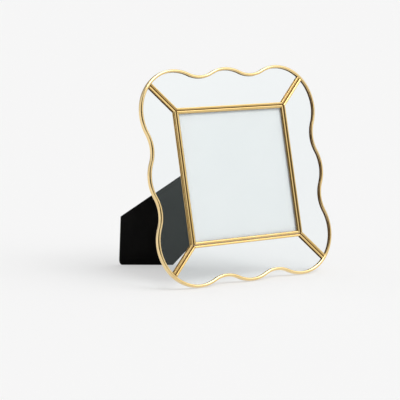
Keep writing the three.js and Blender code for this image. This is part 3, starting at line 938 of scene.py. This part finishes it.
def strut_leaf_pieces():
    """What is joined to the strut's leaf: its barrel, the tongue to it and the heel that stops it."""
    tongue = block(
        (-JOIN_HALF, -LEAF_EDGE - TONGUE_OVERLAP, JOIN_SKIN - LEAF_HALF),
        (JOIN_HALF, -BORE - TONGUE_FROM_BORE, LEAF_HALF - JOIN_SKIN),
    )
    heel_front = BARREL - LEAF_THICKNESS - STOP_GAP
    heel = block(
        (-JOIN_HALF, BORE + HEEL_FROM_BORE, heel_front - LEAF_THICKNESS),
        (JOIN_HALF, HEEL, heel_front),
    )
    heel.turned(Matrix.Rotation(-STRUT_OPEN, 4, "X"))
    return [rod(BARREL, BARREL_HALF, BORE).mesh("barrel"), tongue.mesh("tongue"), heel.mesh("heel")]


knuckles = [curl(-HINGE_HALF, KNUCKLE - HINGE_HALF), curl(HINGE_HALF - KNUCKLE, HINGE_HALF)]
board_leaf = combined(leaf(1, BARREL - LEAF_THICKNESS, BARREL), knuckles, "UNION")
show_fitting("hinge_board_leaf", board_leaf, HINGE, "frame")
show_fitting("hinge_pin", rod(PIN, HINGE_HALF).mesh("pin"), HINGE, "frame")
strut_leaf = combined(leaf(-1, -LEAF_HALF, LEAF_HALF), strut_leaf_pieces(), "UNION")
show_fitting("hinge_strut_leaf", strut_leaf, STRUT, "strut")

# Strut, cut off along the table so that its foot lies flat in both ways of standing
STRUT_FRONT = -LEAF_HALF - GAP
STRUT_BACK = STRUT_FRONT - STRUT_THICKNESS


def strut_board():
    """The strut in the axes of its opened hinge leaf."""
    table_up = Vector((0, math.cos(LEAN), math.sin(LEAN)))
    table_up = Matrix.Rotation(-STRUT_OPEN, 3, "X") @ Matrix.Rotation(math.pi / 4, 3, "Z") @ table_up
    hinge_height = HINGE.translation.z / MM
    toe = min((-hinge_height - table_up.z * level) / table_up.y for level in (STRUT_FRONT, STRUT_BACK))
    top = -BARREL - STRUT_TOP_GAP
    foot_half = STRUT_FOOT / math.sqrt(2)
    corners = [
        ((STRUT_TOP_WIDTH / 2, top), STRUT_CORNER_ROUND),
        ((-STRUT_TOP_WIDTH / 2, top), STRUT_CORNER_ROUND),
        ((-foot_half, toe + foot_half), STRUT_CORNER_ROUND),
        ((0, toe), STRUT_TOE_ROUND),
        ((foot_half, toe + foot_half), STRUT_CORNER_ROUND),
    ]
    outline = rounded(*zip(*corners))
    holes = [hole(x, -RIVET_FROM_PIN) for x in RIVETS_ALONG]
    mesh = plate([outline, *holes], STRUT_BACK, STRUT_FRONT, STRUT_EASE).mesh("strut")
    work = bmesh.new()
    work.from_mesh(mesh)
    for way in (-1, 1):
        up = Vector((way * table_up.x, table_up.y, table_up.z))
        everything = [*work.verts, *work.edges, *work.faces]
        bmesh.ops.bisect_plane(
            work, geom=everything, plane_co=up * -hinge_height, plane_no=up, clear_inner=True
        )
        bmesh.ops.holes_fill(work, edges=[e for e in work.edges if e.is_boundary])
    bmesh.ops.recalc_face_normals(work, faces=work.faces)
    work.to_mesh(mesh)
    work.free()
    return mesh


shown("strut_board", strut_board(), STRUT, FLOCK, "strut")
for i, x in enumerate(RIVETS_ALONG):
    place = STRUT @ Matrix.Translation((x, -RIVET_FROM_PIN, 0))
    pin = rivet(STRUT_BACK - GAP, LEAF_HALF + GAP, tail=True)
    show_fitting(f"strut_leaf_rivet_{i + 1}", pin, place, "strut")

# Glass and insert keep their solids
solid_looks = {f"{side}_glass": SIDE_GLASS for side in SIDES}
solid_looks |= {"picture_glass": PICTURE_GLASS, "photo_insert": CARD}
for node, material in solid_looks.items():
    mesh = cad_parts[node].data
    mesh.materials.clear()
    mesh.materials.append(material)

# Camera at the photograph's view; an image position is in pixels from its top left corner
IMAGE_PIXELS = 400
FOCAL_PIXELS = 1700
CENTRE_PIXEL = (237.817, 173.119)
TURN_DEGREES, DROP_DEGREES, ROLL_DEGREES = 35.736, 9.650, 1.376
DISTANCE = 1279.855 * MM
SENSOR_WIDTH = 36.0
CLIP_START, CLIP_END = 0.05, 60.0
turn, drop, roll = (math.radians(a) for a in (TURN_DEGREES, DROP_DEGREES, ROLL_DEGREES))
look = Vector((math.sin(turn) * math.cos(drop), math.cos(turn) * math.cos(drop), -math.sin(drop)))
level_right = Vector((math.cos(turn), -math.sin(turn), 0))
level_up = level_right.cross(look)
right = level_right * math.cos(roll) + level_up * math.sin(roll)
up = level_up * math.cos(roll) - level_right * math.sin(roll)
off_right, off_down = ((pixel - (IMAGE_PIXELS - 1) / 2) / FOCAL_PIXELS for pixel in CENTRE_PIXEL)
camera_data = bpy.data.cameras.new("camera")
camera_data.sensor_width = SENSOR_WIDTH
camera_data.lens = SENSOR_WIDTH * FOCAL_PIXELS / IMAGE_PIXELS
camera_data.clip_start, camera_data.clip_end = CLIP_START, CLIP_END
camera = bpy.data.objects.new("camera", camera_data)
bpy.context.scene.collection.objects.link(camera)
spot = CENTRE - (right * off_right - up * off_down + look) * DISTANCE
axes = Matrix((right, up, -look)).transposed().to_4x4()
camera.matrix_world = Matrix.Translation(spot) @ axes
bpy.context.scene.camera = camera

# Floor, in metres, just under the object
FLOOR_REACH = 20.0
FLOOR_DROP = 0.02 * MM
floor_mesh = bpy.data.meshes.new("floor")
floor_corners = []
for x, y in ((-1, -1), (1, -1), (1, 1), (-1, 1)):
    floor_corners.append((FLOOR_REACH * x, FLOOR_REACH * y, -FLOOR_DROP))
floor_mesh.from_pydata(floor_corners, [], [(0, 1, 2, 3)])
floor_mesh.materials.append(floor_material("floor"))
floor = bpy.data.objects.new("floor", floor_mesh)
bpy.context.scene.collection.objects.link(floor)

# Soft studio light; a patch has a direction, its inner and outer edge in degrees, and maybe a gain
LAMP_WAY = Vector((0.3, -0.55, 0.78))
LAMP_DEGREES = 28
LAMP_STRENGTH = 1.02
GLASS_MIRROR = look.reflect(TURN.col[2])
STUDIO_LIGHT = 0.38
GAIN_PATCHES = [
    ((0.68, -0.67, 0.3), 14, 38, 0.45),
    ((0.5, -0.1, 0.86), 34, 60, 0.35),
    (LAMP_WAY, 18, 38, 0.8),
    ((-0.85, 0.45, 0.3), 25, 50, 0.6),
    (GLASS_MIRROR, 3, 9, -0.32),
]
DARK_PATCHES = [
    ((-0.15, -0.95, 0.27), 22, 38),
    ((-0.78, -0.6, 0.17), 22, 40),
]
DARK_COLOUR = (0.03, 0.016, 0.005, 1)
DARK_SHARE = 0.95


def studio(name):
    """Light from all round, more or less of it in some directions, and dark beside the camera."""
    world = bpy.data.worlds.new(name)
    n = Nodes(world)
    way = n.add("ShaderNodeTexCoord").outputs["Generated"]

    def patch(centre, inner, outer):
        """1 within inner degrees of a direction, falling to 0 at outer degrees."""
        dot = n.add("ShaderNodeVectorMath", operation="DOT_PRODUCT")
        n.put(dot.inputs[0], way)
        n.put(dot.inputs[1], Vector(centre).normalized())
        return n.ramp(dot.outputs["Value"], math.cos(math.radians(outer)), math.cos(math.radians(inner)))

    level = STUDIO_LIGHT
    for centre, inner, outer, gain in GAIN_PATCHES:
        level = n.math("MULTIPLY_ADD", patch(centre, inner, outer), gain, level)
    grey = n.add("ShaderNodeCombineColor")
    for channel in ("Red", "Green", "Blue"):
        n.put(grey.inputs[channel], level)
    colour = grey.outputs[0]
    for centre, inner, outer in DARK_PATCHES:
        share = n.math("MULTIPLY", patch(centre, inner, outer), DARK_SHARE)
        colour = n.mix(share, colour, DARK_COLOUR)
    background = n.add("ShaderNodeBackground")
    n.put(background.inputs["Color"], colour)
    n.finish(background.outputs[0], "ShaderNodeOutputWorld")
    return world


bpy.context.scene.world = studio("studio")
lamp_data = bpy.data.lights.new("soft_lamp", "SUN")
lamp_data.angle = math.radians(LAMP_DEGREES)
lamp_data.energy = LAMP_STRENGTH
lamp = bpy.data.objects.new("soft_lamp", lamp_data)
bpy.context.scene.collection.objects.link(lamp)
lamp.location = LAMP_WAY
lamp.rotation_euler = LAMP_WAY.to_track_quat("Z", "Y").to_euler()

bpy.context.scene.view_settings.view_transform = "Standard"

bpy.context.view_layer.update()
